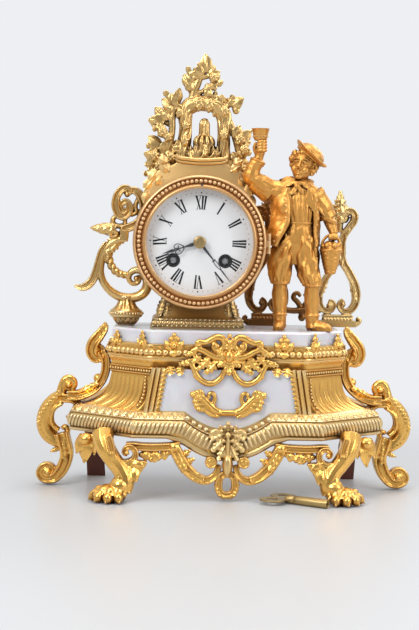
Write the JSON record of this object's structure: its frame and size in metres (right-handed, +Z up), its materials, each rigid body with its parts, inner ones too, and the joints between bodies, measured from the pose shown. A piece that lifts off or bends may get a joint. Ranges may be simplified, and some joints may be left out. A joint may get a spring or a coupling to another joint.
{
  "type": "figural mantel clock",
  "caption": "Gilt mantel clock with a drum case, vine crest, standing figure with goblet and open scrolls on an alabaster-topped paw-footed base; hands, train, pendulum, bezel and door move.",
  "frame": {"origin": "on the floor under the middle of the slab", "axes": "+Z up, front with the dial towards -Y, +X to the viewer's right"},
  "size_m": [0.3016, 0.1329, 0.3455],
  "materials": {
    "base_gilt": "bright gilding on cast white metal",
    "case_gilt": "paler worn gilding",
    "figure_gilt": "matt orange gilding",
    "alabaster": "polished white alabaster",
    "dark_iron": "dark reddish brown",
    "bezel_gilt": "coppery gilding",
    "enamel": "white fired enamel",
    "dial_brass": "polished",
    "blued_steel": "dark blued",
    "bright_steel": "polished",
    "bell_metal": "silvery bell metal",
    "clear_glass": "flat polished glass",
    "key_brass": "worn brass"
  },
  "bodies": {
    "case": {"base_shell": "base_gilt", "lower_band": "base_gilt", "top_rail": "base_gilt", "front_apron": "base_gilt", "paw_foot_left": "base_gilt", "paw_foot_right": "base_gilt", "side_scroll_left": "base_gilt", "side_scroll_right": "base_gilt", "panel_festoon": "base_gilt", "drum_case": "case_gilt", "drum_pedestal": "case_gilt", "vine_crest": "case_gilt", "crest_finial": "case_gilt", "left_scroll": "case_gilt", "right_trellis": "case_gilt", "figure_legs": "figure_gilt", "figure_coat": "figure_gilt", "figure_head": "figure_gilt", "raised_arm": "figure_gilt", "lowered_arm": "figure_gilt", "goblet": "figure_gilt", "basket": "figure_gilt", "alabaster_top": "alabaster", "alabaster_panel": "alabaster", "rear_legs": "dark_iron", "deck_studs": "dark_iron", "stud_nuts": "dark_iron", "bezel_hinge": "bezel_gilt", "dial_plate": "enamel", "dial_pan": "dial_brass", "front_plate": "dial_brass", "back_plate": "dial_brass", "plate_pillars": "dial_brass", "back_cock": "dial_brass", "bell_stand": "bright_steel", "bell": "bell_metal"},
    "minute_work": {"minute_hand": "blued_steel", "hand_collet": "dial_brass", "cannon_pinion": "bright_steel", "center_wheel": "dial_brass"},
    "hour_work": {"hour_hand": "blued_steel", "hour_wheel": "dial_brass"},
    "minute_wheel": {"minute_wheel": "dial_brass"},
    "second_wheel": {"second_wheel": "dial_brass"},
    "going_barrel": {"going_barrel": "dial_brass"},
    "going_arbor": {"going_arbor": "bright_steel"},
    "third_wheel": {"third_wheel": "dial_brass"},
    "escape_wheel": {"escape_wheel": "dial_brass"},
    "pallet_anchor": {"pallet_anchor": "bright_steel"},
    "pendulum": {"pendulum_rod": "bright_steel", "pendulum_bob": "dial_brass"},
    "strike_barrel": {"strike_barrel": "dial_brass"},
    "strike_arbor": {"strike_arbor": "bright_steel"},
    "strike_wheel": {"strike_wheel": "dial_brass"},
    "strike_fly": {"strike_fly": "dial_brass"},
    "strike_hammer": {"strike_hammer": "bright_steel"},
    "bezel": {"bezel": "bezel_gilt", "bezel_glass": "clear_glass"},
    "rear_door": {"rear_door": "bezel_gilt"},
    "winding_key": {"winding_key": "key_brass"}
  },
  "joints": [
    {"name": "minute_turn", "type": "hinge", "parent": "case", "child": "minute_work", "pos_m": [-0.024, 0, 0.1965], "axis": [0, 1, 0], "continuous": true},
    {"name": "hour_turn", "type": "hinge", "parent": "case", "child": "hour_work", "pos_m": [-0.024, 0, 0.1965], "axis": [0, 1, 0], "continuous": true},
    {"name": "minute_wheel_turn", "type": "hinge", "parent": "case", "child": "minute_wheel", "pos_m": [-0.024, 0, 0.2085], "axis": [0, 1, 0], "continuous": true},
    {"name": "second_wheel_turn", "type": "hinge", "parent": "case", "child": "second_wheel", "pos_m": [-0.01084, 0, 0.20235], "axis": [0, 1, 0], "continuous": true},
    {"name": "going_barrel_turn", "type": "hinge", "parent": "case", "child": "going_barrel", "pos_m": [-0.004, 0, 0.1825], "axis": [0, 1, 0], "continuous": true},
    {"name": "third_wheel_turn", "type": "hinge", "parent": "case", "child": "third_wheel", "pos_m": [-0.02841, 0, 0.20894], "axis": [0, 1, 0], "continuous": true},
    {"name": "escape_wheel_turn", "type": "hinge", "parent": "case", "child": "escape_wheel", "pos_m": [-0.024, 0, 0.2195], "axis": [0, 1, 0], "continuous": true},
    {"name": "going_winding", "type": "hinge", "parent": "case", "child": "going_arbor", "pos_m": [-0.004, 0, 0.1825], "axis": [0, 1, 0], "continuous": true},
    {"name": "strike_barrel_turn", "type": "hinge", "parent": "case", "child": "strike_barrel", "pos_m": [-0.044, 0, 0.1825], "axis": [0, 1, 0], "continuous": true},
    {"name": "strike_wheel_turn", "type": "hinge", "parent": "case", "child": "strike_wheel", "pos_m": [-0.04217, 0, 0.20342], "axis": [0, 1, 0], "continuous": true},
    {"name": "strike_fly_turn", "type": "hinge", "parent": "case", "child": "strike_fly", "pos_m": [-0.04767, 0, 0.21295], "axis": [0, 1, 0], "continuous": true},
    {"name": "strike_winding", "type": "hinge", "parent": "case", "child": "strike_arbor", "pos_m": [-0.044, 0, 0.1825], "axis": [0, 1, 0], "continuous": true},
    {"name": "pendulum_swing", "type": "hinge", "parent": "case", "child": "pendulum", "pos_m": [-0.024, 0.0092, 0.2285], "axis": [0, 1, 0], "range_deg": [-4, 4]},
    {"name": "anchor_rock", "type": "hinge", "parent": "case", "child": "pallet_anchor", "pos_m": [-0.024, 0, 0.2285], "axis": [0, 1, 0], "range_deg": [-4, 4]},
    {"name": "hammer_lift", "type": "hinge", "parent": "case", "child": "strike_hammer", "pos_m": [-0.051, 0.017, 0.2045], "axis": [0, 1, 0], "range_deg": [0, 18], "stiffness_Nm_per_rad": 0.003, "springref_deg": -17.19},
    {"name": "bezel_open", "type": "hinge", "parent": "case", "child": "bezel", "pos_m": [0.02915, -0.0415, 0.1965], "axis": [0, 0, 1], "range_deg": [0, 100]},
    {"name": "rear_door_open", "type": "hinge", "parent": "case", "child": "rear_door", "pos_m": [-0.0711, 0.033, 0.1965], "axis": [0, 0, 1], "range_deg": [0, 110]},
    {"name": "key_draw", "type": "slide", "parent": "case", "child": "winding_key", "axis": [0, -1, 0], "range_m": [0, 0.1]}
  ],
  "couplings": [
    {"joint": "minute_wheel_turn", "follows": "minute_turn", "ratio": -0.33333},
    {"joint": "hour_turn", "follows": "minute_turn", "ratio": 0.083333},
    {"joint": "second_wheel_turn", "follows": "minute_turn", "ratio": -0.2},
    {"joint": "going_barrel_turn", "follows": "minute_turn", "ratio": 0.04},
    {"joint": "third_wheel_turn", "follows": "minute_turn", "ratio": -10},
    {"joint": "escape_wheel_turn", "follows": "minute_turn", "ratio": 100},
    {"joint": "strike_wheel_turn", "follows": "strike_barrel_turn", "ratio": -5},
    {"joint": "strike_fly_turn", "follows": "strike_barrel_turn", "ratio": 22.5},
    {"joint": "anchor_rock", "follows": "pendulum_swing", "ratio": 1}
  ]
}
